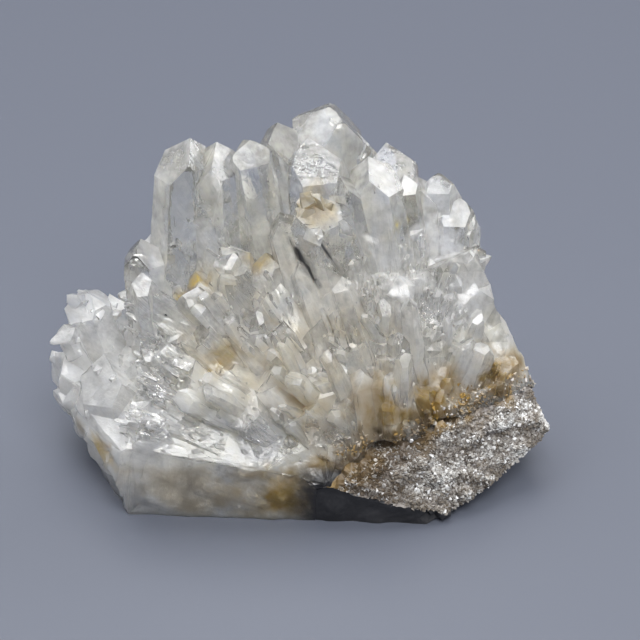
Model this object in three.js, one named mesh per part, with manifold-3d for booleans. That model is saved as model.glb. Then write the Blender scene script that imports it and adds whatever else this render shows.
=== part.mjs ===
// A chrysanthemum quartz cluster: a hand specimen of quartz crystals that grew in a spray
// from a corner of granular rock and were broken off with it.
// Millimetres, +Z up, with the specimen's broken front towards -Y.
// The quartz is one solid, because its crystals grew together. The rock is the other.
import * as THREE from "three";
import { ConvexGeometry } from "three/addons/geometries/ConvexGeometry.js";
import { mergeVertices } from "three/addons/utils/BufferGeometryUtils.js";
import Module from "manifold-3d";

const wasm = await Module();
wasm.setup();

// Driving dimensions
const TOUCH_GAP = 0.3; // clearance between the quartz and the rock that it grew on
const FAN_CENTRE = [15, -13, -6]; // the point in the rock that the broken prisms of the front radiate from
const ROCK_SLOPE = new THREE.Vector3(0.25, -0.75, 0.6); // the way that the rock's broken slope faces
const SEEDS = { quartz: 2024, rock: 77 };

// Tolerances: of a corner on a plane, of two corners that are one, of planes that don't meet, of
// vertices that are one
const [ON_PLANE, SAME_CORNER, PARALLEL, WELD] = [1e-6, 1e-4, 1e-3, 1e-5];

// A quartz crystal: angles of its faces, and how unequal they are as a share of its radius
const PRISM_SIDES = 6;
const FACE_LEAN = THREE.MathUtils.degToRad(51.8); // a tip face's normal from the crystal's long axis
const TAPER = THREE.MathUtils.degToRad(2.2); // how much a prism narrows towards its tip
const PRISM_SPREAD = 0.2;
const TIP_SPREAD = 0.42; // this makes one tip face large and its neighbour small

// A worn point: how far from square its flat lies, and the faces that round off a well worn one
const WEAR_LEAN = 0.35;
const ROUNDED = { from: 0.9, faces: 4, lean: THREE.MathUtils.degToRad(29), share: 0.72 };

// The thinner crystals beside a main one: places and thickness by its radius, reach by its length
const BESIDE = {
  away: [0.95, 1.3],
  foot: 0.7,
  head: 1.25,
  reach: [0.62, 0.88],
  thickness: [0.42, 0.68],
  turn: 0.4,
};

// How far a snapped prism's ends lean from square
const SNAP_LEAN = 0.5;

// The rock's coarser grains: their radii, the square millimetres of face to each, and which faces
// carry them
const GRAIN = { radius: [0.7, 1.5], area: 5.4, slope: 0.55, steepest: 0.2 };

// The balls that scoop shell-shaped hollows
const HOLLOW = { stray: 0.45, detail: 2 };

// The cluster's main crystals: the tip, the root inside the mass, the radius, how many thinner
// ones grew alongside, and how much of the point is worn off. They run from the left end, over
// the top, to the right end, and then along the back.
const CRYSTALS = {
  leftEnd: { tip: [-33.6, 2.4, 12], root: [-20, -4, 8], radius: 3.6, beside: 2, blunt: 0.9 },
  leftLow: { tip: [-32.6, -2.2, 7.6], root: [-18, -6, 5], radius: 3.6, beside: 1, blunt: 1 },
  leftShoulder: { tip: [-28.2, 3.2, 22.6], root: [-22, -2, 5], radius: 2.9, beside: 2, blunt: 1.2 },
  leftInner: { tip: [-24.3, 4.6, 20.6], root: [-19, -1, 5], radius: 2.3, beside: 0, blunt: 0.6 },
  leftFront: { tip: [-25.2, -5.4, 20.4], root: [-20, -9, 1], radius: 5, beside: 1, blunt: 2.2 },
  leftStump: { tip: [-20.6, -7.6, 18.6], root: [-17, -11, 2], radius: 3.6, beside: 1, blunt: 1 },
  leftRise: { tip: [-19.9, 5, 29.4], root: [-18, -2, 6], radius: 3.5, beside: 2, blunt: 0.7 },
  leftRiseInner: { tip: [-16, 4.4, 27], root: [-15, -3, 6], radius: 2.5, beside: 0, blunt: 0.4 },
  tallOuter: { tip: [-14.3, 9, 41.7], root: [-15.4, 2, 8], radius: 3.6, beside: 0, blunt: 0.4 },
  tallInner: { tip: [-11, 8, 41.7], root: [-10.6, 1, 8], radius: 3.4, beside: 0, blunt: 0.7 },
  leaningLeft: { tip: [-7.2, 9, 41.6], root: [-1.4, 1, 9], radius: 2.9, beside: 0, blunt: 1.6 },
  ridgeLeft: { tip: [-2.4, 12, 42.2], root: [2, 4, 9], radius: 3.8, beside: 0, blunt: 1 },
  ridgeFront: { tip: [1.7, 10, 41.8], root: [4.4, 2, 9], radius: 3.9, beside: 0, blunt: 1 },
  summit: { tip: [2.5, 15.4, 44.6], root: [4.6, 6, 9], radius: 4.8, beside: 0, blunt: 3.1 },
  ridgeRight: { tip: [7, 14, 38.9], root: [8.6, 6, 9], radius: 3, beside: 1, blunt: 0.4 },
  creamTip: { tip: [8.5, 8.2, 40], root: [13.4, 0, 11], radius: 3.4, beside: 0, blunt: 1 },
  creamLeft: { tip: [5.4, 5.8, 37.6], root: [11.4, -2, 11], radius: 2.2, beside: 1, blunt: 0.3 },
  creamRight: { tip: [11, 6.8, 36.8], root: [15.6, 0, 11], radius: 2, beside: 1, blunt: 0.2 },
  creamOuter: { tip: [13.6, 8, 36.4], root: [17, 0, 11], radius: 2.1, beside: 1, blunt: 0.5 },
  rightRidge: { tip: [11.5, 13, 38.9], root: [13, 6, 9], radius: 3.1, beside: 1, blunt: 0.2 },
  stainedTip: { tip: [0.4, 3.4, 38], root: [9, -6, 10], radius: 3.5, beside: 0, blunt: 0.9 },
  stainedLeft: { tip: [-2.4, 2.4, 34.6], root: [6, -7, 9], radius: 2.5, beside: 1, blunt: 0.4 },
  stainedRight: { tip: [3.8, 3, 35.6], root: [11, -6, 10], radius: 2.3, beside: 1, blunt: 0.3 },
  columnLeft: { tip: [-1, 0.2, 30.6], root: [8, -9, 9], radius: 2.3, beside: 1, blunt: 0.3 },
  columnRight: { tip: [4.6, 0.2, 31], root: [11.6, -8, 9], radius: 2.4, beside: 1, blunt: 0.3 },
  roughInner: { tip: [15.2, 9, 36], root: [17, 1, 9], radius: 2.6, beside: 2, blunt: 0.6 },
  roughTop: { tip: [17.6, 9.6, 36], root: [17.6, 2, 9], radius: 3, beside: 2, blunt: 1.1 },
  roughShoulder: { tip: [20, 8, 33.2], root: [18.6, 1, 9], radius: 2.6, beside: 2, blunt: 0.9 },
  roughOuter: { tip: [21.2, 8, 31.4], root: [19.4, 2, 8], radius: 2.2, beside: 1, blunt: 0.5 },
  roughLow: { tip: [21.8, 6.6, 28], root: [19.4, 0, 8], radius: 2.6, beside: 1, blunt: 0.6 },
  middleStain: { tip: [-12.9, 1, 27], root: [-8.6, -7, 9], radius: 2.5, beside: 1, blunt: 0.6 },
  middleLow: { tip: [-15.8, -0.6, 23.2], root: [-11, -8, 8], radius: 2.3, beside: 1, blunt: 0.4 },
  middleRound: { tip: [-9.4, 2, 29.8], root: [-4.6, -6, 9], radius: 3.1, beside: 1, blunt: 1 },
  middleRight: { tip: [-4.6, 0.8, 29.4], root: [1.4, -8, 8], radius: 2.6, beside: 1, blunt: 0.5 },
  footFirst: { tip: [1.8, -10, 19], root: [5.4, -13, 7], radius: 2.5, beside: 1, blunt: 0.5 },
  footSecond: { tip: [6.6, -9, 19.6], root: [8.6, -12, 9], radius: 2.5, beside: 1, blunt: 0.5 },
  footThird: { tip: [10.2, -8.8, 19.4], root: [11.6, -11, 10], radius: 2.5, beside: 1, blunt: 0.5 },
  footFourth: { tip: [14, -8, 19], root: [14.4, -9.8, 10.6], radius: 2.3, beside: 1, blunt: 0.5 },
  footLast: { tip: [18.4, -7, 18.6], root: [18, -8.4, 11], radius: 2.4, beside: 1, blunt: 0.5 },
  backSummit: { tip: [-2.4, 18.2, 35.4], root: [2, 6, 9], radius: 3.6, beside: 2, blunt: 0.4 },
  backLeft: { tip: [-10.4, 15.4, 33.6], root: [-7, 5, 8], radius: 3.4, beside: 2, blunt: 0.4 },
  backFarLeft: { tip: [-18, 12.4, 27], root: [-13, 4, 7], radius: 3.3, beside: 2, blunt: 0.6 },
  backRight: { tip: [8.6, 18.6, 31], root: [8, 7, 8], radius: 3.3, beside: 2, blunt: 0.3 },
  backFarRight: { tip: [16.6, 15.6, 28], root: [13, 6, 8], radius: 3.2, beside: 2, blunt: 0.6 },
  backLowLeft: { tip: [-13.6, 17, 20.4], root: [-9, 5, 6], radius: 3.1, beside: 2, blunt: 0.5 },
  backLowMiddle: { tip: [-1.6, 19.6, 22.6], root: [0, 6, 6], radius: 3.5, beside: 2, blunt: 0.5 },
  backLowRight: { tip: [12.2, 18, 18.4], root: [9, 6, 6], radius: 3.2, beside: 2, blunt: 0.7 },
  backEndLeft: { tip: [-25.6, 9.4, 15], root: [-17, 2, 6], radius: 3, beside: 2, blunt: 0.7 },
  backEndRight: { tip: [22, 11.8, 19.6], root: [15, 4, 8], radius: 2.9, beside: 2, blunt: 0.5 },
  backStubRight: { tip: [22.4, 13, 12.4], root: [15, 5, 7], radius: 2.8, beside: 1, blunt: 1 },
  backStubLow: { tip: [15.4, 16.4, 9.4], root: [10, 6, 4], radius: 2.9, beside: 1, blunt: 0.9 },
};

// The massive quartz that the crystals stand in, as the corners of a few broken blocks
const MASSIVE_BLOCKS = {
  leftFoot: [
    [-27.4, -4, 0], [-22, -19, 0], [0, -19, 0], [0, 10, 0], [-23, 9, 0],
    [-31.8, -1.4, 7], [-30, 4, 9], [-21.6, -17.4, 10.6], [-4, -18.4, 7.2], [-21, -10, 15],
    [-12, -11, 15], [-22, 3, 16], [-4, -9, 15], [-29.4, -7, 5.4], [-28, -8, 11.4],
  ],
  middle: [
    [-6, -18.4, 7], [7, -15.6, 8], [-12, -8, 17], [-10, -1, 23], [-8, 10, 22],
    [4, -1.6, 25], [12, -9, 15], [-14, 11, 0], [12, 11, 0], [11, -3, 25],
    [12, 10, 23], [14, 3, 27], [0, 5, 27], [-8, -19, 0], [5, -19, 0],
    [3.4, -18.4, 5.4],
  ],
  right: [
    [11, -3.4, 25.4], [22, 3.6, 27.4], [24, 2, 23.4], [26.6, -0.6, 18.6], [28.6, -2.6, 14.8],
    [30.2, -4.6, 11.6], [21, -10.2, 11.6], [12, -10, 14.6], [9, 8, 24], [20.4, 9, 24],
    [25, 7.4, 12], [13, 11, 0], [6, -2, 2], [20, 7, 0], [18.6, -4.6, 21.8],
  ],
  frontStep: [
    [-21.6, -17.6, 8], [-20.8, -17, 11.8], [-16.6, -15, 13.6], [-15, -18, 6], [-18, -10, 8],
    [-14, -10, 12],
  ],
};

// The rock's corners. Its front edge lies in the specimen's broken front, and its right end
// stands clear of the ground.
const ROCK_CORNERS = [
  [2.4, -17.7, 0], [16, -18.2, 0], [18, 7, 0], [6, 8, 0], [2.4, -17.6, 5.6],
  [9, -15.6, 8.2], [12.8, -14.2, 9.4], [17.8, -12.4, 10.2], [22, -10.4, 11.2], [26.2, -7.8, 11.6],
  [29.6, -4.6, 11.2], [12, -18.3, 3.6], [31.8, -7.6, 6], [31.6, -6.6, 8], [22.6, -15, 1.8],
  [27, 5, 4], [26.6, 5, 9.4], [8, 6, 4],
];

// Planes that the specimen was broken along, each through three points, anticlockwise from outside
const BREAKS = {
  front: [[-21.8, -16.2, 0], [16, -18.2, 0], [2, -17.9, 9]],
  leftUnder: [[-26.8, -4.6, 0], [-21.8, -16.2, 0], [-28.7, -8.6, 8.4]],
  leftBack: [[-24, 9, 0], [-26.8, -4.6, 0], [-32.8, -0.4, 7.6]],
  rightUnder: [[16, -18.2, 0], [18, 8, 0], [31.8, -7.4, 5.8]],
  back: [[18, 9, 0], [-24, 9, 0], [0, 20, 14]],
};

// Broken slopes that snapped prisms lie in: the slope's low left, low right, high left and high
// right corners, how many prisms lie across and up it, how far each strays in its cell and from
// its ray, and the ranges of its size
const SNAPPED = {
  front: {
    corners: [[-19, -15.2, 9], [14, -11, 12], [-17, -1.6, 21.5], [12, -3.4, 22]],
    across: 8, up: 4, stray: 0.4, tilt: 0.24, halfLength: [2.6, 5.2], radius: [1.6, 2.9],
  },
  right: {
    corners: [[15, -9, 14], [28, -4.6, 12.6], [13.4, -2.8, 24.4], [21.6, 2.4, 24.8]],
    across: 4, up: 3, stray: 0.35, tilt: 0.7, halfLength: [1.5, 3], radius: [1.7, 3.1],
  },
};

// Broken faces scooped in shell shapes: their corners in the same order, the hollows each way, and
// their size
const SCOOPED = {
  rightFront: {
    corners: [[14, -9.6, 15], [28, -5, 13], [13, -3.2, 24], [22.4, 2, 24.6]],
    across: 3, up: 2, depth: 0.7, radius: [5, 9],
  },
  rightEnd: {
    corners: [[29.4, -3.6, 12.4], [25, 7, 12.4], [24, 2, 22.6], [21, 8.6, 23.4]],
    across: 2, up: 2, depth: 0.8, radius: [5, 9],
  },
  rightBehind: {
    corners: [[24.8, 7, 10], [14, 10.6, 2], [21, 8.8, 22], [12, 12, 16]],
    across: 2, up: 3, depth: 0.8, radius: [5, 9],
  },
  leftUnder: {
    corners: [[-26.8, -4.6, 1], [-21.9, -16.2, 1.4], [-30.4, -4.6, 7.4], [-26.4, -12, 9]],
    across: 2, up: 2, depth: 0.6, radius: [5, 9],
  },
  leftBack: {
    corners: [[-24.4, 8.6, 1], [-26.8, -4, 1], [-30, 5.4, 7.6], [-31.4, -1, 7]],
    across: 2, up: 1, depth: 0.7, radius: [5, 9],
  },
  back: {
    corners: [[13, 9.6, 1.4], [-23, 9.6, 1.4], [12, 14, 7], [-20, 13.4, 6.4]],
    across: 5, up: 1, depth: 0.9, radius: [5, 9],
  },
};

// A repeatable source of numbers from 0 to 1: a linear congruential generator
const [MULTIPLIER, INCREMENT, MODULUS] = [1664525, 1013904223, 2 ** 32];

function randomSource(seed) {
  let state = seed;
  return () => {
    state = (state * MULTIPLIER + INCREMENT) % MODULUS;
    return state / MODULUS;
  };
}

function spread(random, size) {
  return (random() * 2 - 1) * size;
}

function between(random, [low, high]) {
  return low + random() * (high - low);
}

function vector(point) {
  return new THREE.Vector3(...point);
}

// A closed three.js geometry as a solid that can be joined and cut
function toSolid(geometry) {
  const bare = geometry.clone();
  bare.deleteAttribute("normal");
  bare.deleteAttribute("uv");
  const merged = mergeVertices(bare, WELD);
  return new wasm.Manifold(
    new wasm.Mesh({
      numProp: 3,
      vertProperties: new Float32Array(merged.attributes.position.array),
      triVerts: new Uint32Array(merged.index.array),
    }),
  );
}

function toGeometry(solid) {
  const mesh = solid.getMesh();
  const geometry = new THREE.BufferGeometry();
  geometry.setAttribute("position", new THREE.BufferAttribute(mesh.vertProperties, 3));
  geometry.setIndex(new THREE.BufferAttribute(mesh.triVerts, 1));
  return geometry.toNonIndexed();
}

function joined(solids) {
  return solids.reduce((whole, solid) => whole.add(solid));
}

// The corners of the shape that lies behind every plane
function cornersOf(planes) {
  const corners = [];
  const matrix = new THREE.Matrix3();
  for (let i = 0; i < planes.length; i++) {
    for (let j = i + 1; j < planes.length; j++) {
      for (let k = j + 1; k < planes.length; k++) {
        const [a, b, c] = [planes[i], planes[j], planes[k]];
        matrix.set(...a.normal.toArray(), ...b.normal.toArray(), ...c.normal.toArray());
        if (Math.abs(matrix.determinant()) < PARALLEL) continue;
        const corner = new THREE.Vector3(-a.constant, -b.constant, -c.constant);
        corner.applyMatrix3(matrix.invert());
        const inside = planes.every((plane) => plane.distanceToPoint(corner) < ON_PLANE);
        const isNew = !corners.some((other) => other.distanceTo(corner) < SAME_CORNER);
        if (inside && isNew) corners.push(corner);
      }
    }
  }
  return corners;
}

// A plane whose outside is the way that its normal points, at a distance from the origin along it
function facing(normal, distance) {
  return new THREE.Plane(normal.clone().normalize(), -distance);
}

// The turn and place that stand a shape's +Z along the line from one point to another
function along(from, to) {
  const turn = new THREE.Quaternion().setFromUnitVectors(
    new THREE.Vector3(0, 0, 1),
    vector(to).sub(vector(from)).normalize(),
  );
  return new THREE.Matrix4().compose(vector(from), turn, new THREE.Vector3(1, 1, 1));
}

// The direction at an angle round +Z, leaning from +Z
function leaning(angle, lean) {
  const [across, up] = [Math.sin(lean), Math.cos(lean)];
  return new THREE.Vector3(Math.cos(angle) * across, Math.sin(angle) * across, up);
}

// The planes of a six-sided quartz prism along +Z, from its root at the origin to the tip at its length
function crystalPlanes(length, radius, random) {
  const planes = [facing(new THREE.Vector3(0, 0, -1), 0)];
  const turned = random() * Math.PI;
  const shoulder = radius * Math.cos(Math.PI / PRISM_SIDES);
  for (let side = 0; side < PRISM_SIDES; side++) {
    const angle = turned + (side * Math.PI * 2) / PRISM_SIDES;
    const prismDistance = shoulder * (1 + spread(random, PRISM_SPREAD)) + length * Math.sin(TAPER);
    planes.push(facing(leaning(angle, Math.PI / 2 - TAPER), prismDistance));
    const large = side % 2 ? 0.5 : -0.5; // a tip's faces are large and small in turn
    const tipDistance = length * Math.cos(FACE_LEAN) + radius * TIP_SPREAD * (large + spread(random, 0.5));
    planes.push(facing(leaning(angle, FACE_LEAN), tipDistance));
  }
  return planes;
}

// The flat that a point is worn down to and, on a well worn point, the faces that round it off
function wornPlanes(length, blunt, random) {
  const flat = new THREE.Vector3(spread(random, WEAR_LEAN), spread(random, WEAR_LEAN), 1).normalize();
  const planes = [facing(flat, (length - blunt) * flat.z)];
  if (blunt < ROUNDED.from) return planes;
  const turned = random() * Math.PI;
  for (let face = 0; face < ROUNDED.faces; face++) {
    const angle = turned + (face * Math.PI * 2) / ROUNDED.faces;
    const reach = length - blunt * ROUNDED.share;
    planes.push(facing(leaning(angle, ROUNDED.lean), reach * Math.cos(ROUNDED.lean)));
  }
  return planes;
}

function crystal(root, tip, radius, random, blunt = 0) {
  const length = vector(root).distanceTo(vector(tip));
  const planes = [...crystalPlanes(length, radius, random), ...wornPlanes(length, blunt, random)];
  return toSolid(new ConvexGeometry(cornersOf(planes)).applyMatrix4(along(root, tip)));
}

// A crystal with the thinner and shorter ones that grew alongside it
function crystalBundle({ tip, root, radius, beside, blunt }, random) {
  const bundle = [crystal(root, tip, radius, random, blunt)];
  const place = along(root, tip);
  const length = vector(root).distanceTo(vector(tip));
  const firstAngle = random() * Math.PI * 2;
  for (let i = 0; i < beside; i++) {
    const angle = firstAngle + (i * Math.PI * 2) / beside + spread(random, BESIDE.turn);
    const outward = leaning(angle, Math.PI / 2).multiplyScalar(radius * between(random, BESIDE.away));
    const foot = outward.clone().multiplyScalar(BESIDE.foot);
    const head = outward.clone().multiplyScalar(BESIDE.head).setZ(length * between(random, BESIDE.reach));
    const thinner = radius * between(random, BESIDE.thickness);
    const [from, to] = [foot, head].map((point) => point.applyMatrix4(place).toArray());
    bundle.push(crystal(from, to, thinner, random));
  }
  return joined(bundle);
}

// A prism snapped off across its length at both ends, lying in the broken front
function brokenPrism(root, tip, radius, random) {
  const length = vector(root).distanceTo(vector(tip));
  const endless = crystalPlanes(length * 2, radius, random);
  const sides = endless.filter((plane) => plane.normal.z < Math.cos(FACE_LEAN) / 2);
  const snap = new THREE.Vector3(spread(random, SNAP_LEAN), spread(random, SNAP_LEAN), 1).normalize();
  return toSolid(
    new ConvexGeometry(cornersOf([...sides, facing(snap, length * snap.z)])).applyMatrix4(along(root, tip)),
  );
}

// The point at shares (across, up) of a patch between its four corners
function patchPoint([lowLeft, lowRight, highLeft, highRight], across, up) {
  const low = vector(lowLeft).lerp(vector(lowRight), across);
  const high = vector(highLeft).lerp(vector(highRight), across);
  return low.lerp(high, up);
}

// One point strayed from the middle of each cell of a patch
function patchPoints({ corners, across, up }, stray, random) {
  const points = [];
  for (let row = 0; row < up; row++) {
    for (let column = 0; column < across; column++) {
      const shareAcross = (column + 0.5 + spread(random, stray)) / across;
      const shareUp = (row + 0.5 + spread(random, stray)) / up;
      points.push(patchPoint(corners, shareAcross, shareUp));
    }
  }
  return points;
}

// Snapped prisms that radiate from the rock and overlap in a broken slope like a fan's ribs
function snappedPrisms(slope, random) {
  const ribs = patchPoints(slope, slope.stray, random).map((middle) => {
    const tilt = new THREE.Vector3(...[0, 1, 2].map(() => spread(random, slope.tilt)));
    const outward = middle.clone().sub(vector(FAN_CENTRE)).normalize().add(tilt).normalize();
    const half = between(random, slope.halfLength);
    const root = middle.clone().addScaledVector(outward, -half);
    const tip = middle.clone().addScaledVector(outward, half);
    return brokenPrism(root.toArray(), tip.toArray(), between(random, slope.radius), random);
  });
  return joined(ribs);
}

// The balls whose near sides scoop a broken face into shell-shaped hollows
function hollows(face, random) {
  const [lowLeft, lowRight, highLeft] = face.corners.map(vector);
  const outward = lowRight.sub(lowLeft).cross(highLeft.sub(lowLeft)).normalize();
  const balls = patchPoints(face, HOLLOW.stray, random).map((middle) => {
    const radius = between(random, face.radius);
    const centre = middle.addScaledVector(outward, radius - face.depth);
    return toSolid(new THREE.IcosahedronGeometry(radius, HOLLOW.detail).translate(...centre.toArray()));
  });
  return joined(balls);
}

function block(corners) {
  return toSolid(new ConvexGeometry(corners.map(vector)));
}

// Everything outside a break plane cut away
function brokenOff(solid, [a, b, c]) {
  const plane = new THREE.Plane().setFromCoplanarPoints(vector(a), vector(b), vector(c));
  return solid.trimByPlane(plane.normal.clone().negate().toArray(), plane.constant);
}

function aboveGround(solid) {
  return solid.trimByPlane([0, 0, 1], 0);
}

// The rock's corners moved out from its middle, far enough to leave room round its faces
function rockCore(grow) {
  const sum = ROCK_CORNERS.map(vector).reduce((total, corner) => total.add(corner));
  const middle = sum.divideScalar(ROCK_CORNERS.length);
  const outward = (corner) => vector(corner).sub(middle).setLength(grow * 2);
  return new ConvexGeometry(ROCK_CORNERS.map((corner) => vector(corner).add(outward(corner))));
}

// The triangles of the rock's core that slope to the front
function rockSlope() {
  const core = rockCore(0);
  const place = core.attributes.position;
  const shown = [];
  for (let corner = 0; corner < place.count; corner += 3) {
    const face = new THREE.Triangle().setFromAttributeAndIndices(place, corner, corner + 1, corner + 2);
    const normal = face.getNormal(new THREE.Vector3());
    if (normal.dot(ROCK_SLOPE) > GRAIN.slope && Math.abs(normal.z) > GRAIN.steepest) shown.push(face);
  }
  return shown;
}

// The rock's coarser grains, scattered on its slope
function rockGrains(grow) {
  const random = randomSource(SEEDS.rock);
  const grains = [];
  for (const face of rockSlope()) {
    for (let i = 0; i < face.getArea() / GRAIN.area; i++) {
      const [s, t] = [Math.sqrt(random()), random()];
      const centre = new THREE.Vector3()
        .addScaledVector(face.a, 1 - s)
        .addScaledVector(face.b, s * (1 - t))
        .addScaledVector(face.c, s * t);
      const grain = new THREE.IcosahedronGeometry(between(random, GRAIN.radius) + grow, 0);
      grain.rotateX(random() * Math.PI).rotateZ(random() * Math.PI);
      grain.translate(centre.x, centre.y, centre.z);
      grains.push(toSolid(grain));
    }
  }
  return joined(grains);
}

function makeRock(grow) {
  return toSolid(rockCore(grow)).add(rockGrains(grow));
}

function makeQuartz() {
  const random = randomSource(SEEDS.quartz);
  const crystals = Object.values(CRYSTALS).map((entry) => crystalBundle(entry, random));
  const blocks = Object.values(MASSIVE_BLOCKS).map(block);
  const prisms = Object.values(SNAPPED).map((slope) => snappedPrisms(slope, random));
  const whole = joined([...blocks, ...crystals, ...prisms]);
  const broken = Object.values(BREAKS).reduce(brokenOff, whole);
  const scoops = joined(Object.values(SCOOPED).map((face) => hollows(face, random)));
  return largestBody(aboveGround(broken).subtract(scoops).subtract(makeRock(TOUCH_GAP)));
}

// Chips that a cut left loose are dropped
function largestBody(solid) {
  return solid.decompose().sort((a, b) => b.volume() - a.volume())[0];
}

function namedMesh(name, solid, look) {
  const material = new THREE.MeshStandardMaterial({ flatShading: true, ...look });
  const mesh = new THREE.Mesh(toGeometry(solid), material);
  mesh.name = name;
  return mesh;
}

const QUARTZ_LOOK = { color: 0xdcdad2, roughness: 0.12, metalness: 0 };
const ROCK_LOOK = { color: 0x8f8a80, roughness: 0.75, metalness: 0 };

const quartz = namedMesh("quartz_cluster", makeQuartz(), QUARTZ_LOOK);
const brokenRock = largestBody(aboveGround(brokenOff(makeRock(0), BREAKS.front)));
const rock = namedMesh("host_rock", brokenRock, ROCK_LOOK);

// The specimen stands with the middle of its base on the origin
const specimen = new THREE.Group();
specimen.add(quartz, rock);
const extent = new THREE.Box3().setFromObject(specimen);
const centre = extent.getCenter(new THREE.Vector3());
specimen.position.set(-centre.x, -centre.y, -extent.min.z);

export default specimen;
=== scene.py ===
# %% [markdown]
# # A chrysanthemum quartz cluster
# This lesson dresses a hand specimen: a spray of quartz crystals, clear at their points and milky
# below, that grew from a corner of granular rock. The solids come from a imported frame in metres,
# +Z up. Each step makes one part of the look: the crystals' fine shape, the cracks inside them, the
# rock's grains, the finishes, and at last the floor and the lights.

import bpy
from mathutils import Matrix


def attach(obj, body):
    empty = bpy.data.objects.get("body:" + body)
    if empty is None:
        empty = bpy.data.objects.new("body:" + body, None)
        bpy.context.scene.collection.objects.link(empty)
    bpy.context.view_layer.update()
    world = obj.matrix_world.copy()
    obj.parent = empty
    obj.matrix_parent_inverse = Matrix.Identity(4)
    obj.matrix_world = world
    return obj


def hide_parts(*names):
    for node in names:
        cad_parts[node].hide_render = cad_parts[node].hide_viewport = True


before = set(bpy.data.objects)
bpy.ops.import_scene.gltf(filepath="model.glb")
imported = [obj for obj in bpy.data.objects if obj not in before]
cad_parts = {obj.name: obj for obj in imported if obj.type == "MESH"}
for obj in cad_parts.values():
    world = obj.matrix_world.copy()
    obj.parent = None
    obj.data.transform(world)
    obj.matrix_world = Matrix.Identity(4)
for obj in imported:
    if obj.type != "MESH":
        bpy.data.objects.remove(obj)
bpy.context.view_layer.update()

# %% Tools used below
import math
import random
from types import SimpleNamespace

import bmesh
import bpy
from mathutils import Vector, bvhtree, kdtree, noise

MM = 0.001
random.seed(7)
quartz_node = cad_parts["quartz_cluster"]
rock_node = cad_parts["host_rock"]

# %% [markdown]
# ## A short way to write nodes
# Materials and Geometry Nodes are both trees of nodes. Writing each link by hand hides the idea, so
# a small class wraps an output socket and lets Python's own signs add the Math nodes. Every other
# node comes from one method, which sets its options first and then its sockets.

# %% The socket class
class Field:
    """One output socket, which can be combined with others or with numbers by +, - and *."""

    def __init__(self, tree, socket):
        self.tree = tree
        self.socket = socket

    def maths(self, operation, *others, swapped=False):
        values = [self, *others]
        if swapped:
            values.reverse()
        return add_node(self.tree, "ShaderNodeMath", {"operation": operation}, dict(enumerate(values)))

    def __add__(self, other):
        return self.maths("ADD", other)

    def __sub__(self, other):
        return self.maths("SUBTRACT", other)

    def __mul__(self, other):
        return self.maths("MULTIPLY", other)

    def __radd__(self, other):
        return self.maths("ADD", other, swapped=True)

    def __rsub__(self, other):
        return self.maths("SUBTRACT", other, swapped=True)

    def __rmul__(self, other):
        return self.maths("MULTIPLY", other, swapped=True)

    def at_least(self, other):
        return self.maths("MAXIMUM", other)

    def at_most(self, other):
        return self.maths("MINIMUM", other)

    def output(self, name):
        """Another output of the node that this socket belongs to, by name or number."""
        return Field(self.tree, self.socket.node.outputs[name])


def add_node(tree, kind, settings=None, values=None):
    """Adds a node, sets its options, then fills or links its inputs. Gives its first output."""
    node = tree.nodes.new(kind)
    for name, value in (settings or {}).items():
        if name == "stops":
            set_stops(node.color_ramp, value)
        else:
            setattr(node, name, value)
    for key, value in (values or {}).items():
        if isinstance(value, Field):
            tree.links.new(value.socket, node.inputs[key])
        else:
            node.inputs[key].default_value = value
    return Field(tree, node.outputs[0]) if node.outputs else node


def set_stops(ramp, stops):
    while len(ramp.elements) < len(stops):
        ramp.elements.new(1)
    for element, (position, shade) in zip(ramp.elements, stops):
        element.position = position
        element.color = shade


# %% Helpers for patterns, vectors and colours
def between(field, low, high, to_low=0.0, to_high=1.0):
    """The field, where low to high becomes to_low to to_high, smoothly and no further."""
    return add_node(
        field.tree,
        "ShaderNodeMapRange",
        {"interpolation_type": "SMOOTHSTEP"},
        {"Value": field, "From Min": low, "From Max": high, "To Min": to_low, "To Max": to_high},
    )


def vector_maths(operation, *values):
    return add_node(
        values[0].tree,
        "ShaderNodeVectorMath",
        {"operation": operation},
        dict(enumerate(values)),
    )


def scaled(vector, factor):
    return add_node(
        vector.tree,
        "ShaderNodeVectorMath",
        {"operation": "SCALE"},
        {0: vector, "Scale": factor},
    )


def cloud_noise(place, size, detail=3.0, roughness=0.55):
    """Noise from 0 to 1 whose lumps are about size across, in metres."""
    return add_node(
        place.tree,
        "ShaderNodeTexNoise",
        {"noise_dimensions": "3D"},
        {"Vector": place, "Scale": 1 / size, "Detail": detail, "Roughness": roughness},
    )


MIX_FACTOR, MIX_FIRST, MIX_SECOND = 0, 6, 7


def mix_colour(factor, first, second):
    """The Mix node has the same sockets for each kind of value, so they go by their numbers."""
    return add_node(
        factor.tree,
        "ShaderNodeMix",
        {"data_type": "RGBA"},
        {MIX_FACTOR: factor, MIX_FIRST: first, MIX_SECOND: second},
    ).output("Result")


SCREEN_DARK = 0.04045
SCREEN_SLOPE = 12.92
SCREEN_SHIFT = 0.055
SCREEN_POWER = 2.4


def colour(red, green, blue):
    """A colour given as it looks on a screen, from 0 to 1, as the linear colour that nodes want."""
    def linear(value):
        if value <= SCREEN_DARK:
            return value / SCREEN_SLOPE
        return ((value + SCREEN_SHIFT) / (1 + SCREEN_SHIFT)) ** SCREEN_POWER

    return (linear(red), linear(green), linear(blue), 1.0)


def new_material(name):
    material = bpy.data.materials.new(name)
    material.use_nodes = True
    material.node_tree.nodes.clear()
    return material


# %% [markdown]
# ## Work on copies of the solids
# The frame's meshes are loose triangles and stay as they are. Everything below needs faces that know
# their neighbours, so each solid is copied and its corners are welded. A bmesh is the editable form
# of a mesh. Small helpers open it, close it, put the result in the scene and make its skin ready
# to be searched.

# %% Small helpers for meshes
def opened(mesh):
    shape = bmesh.new()
    shape.from_mesh(mesh)
    return shape


def closed(shape, mesh):
    """Writes an edited shape to a mesh and frees it."""
    shape.to_mesh(mesh)
    shape.free()
    return mesh


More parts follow.
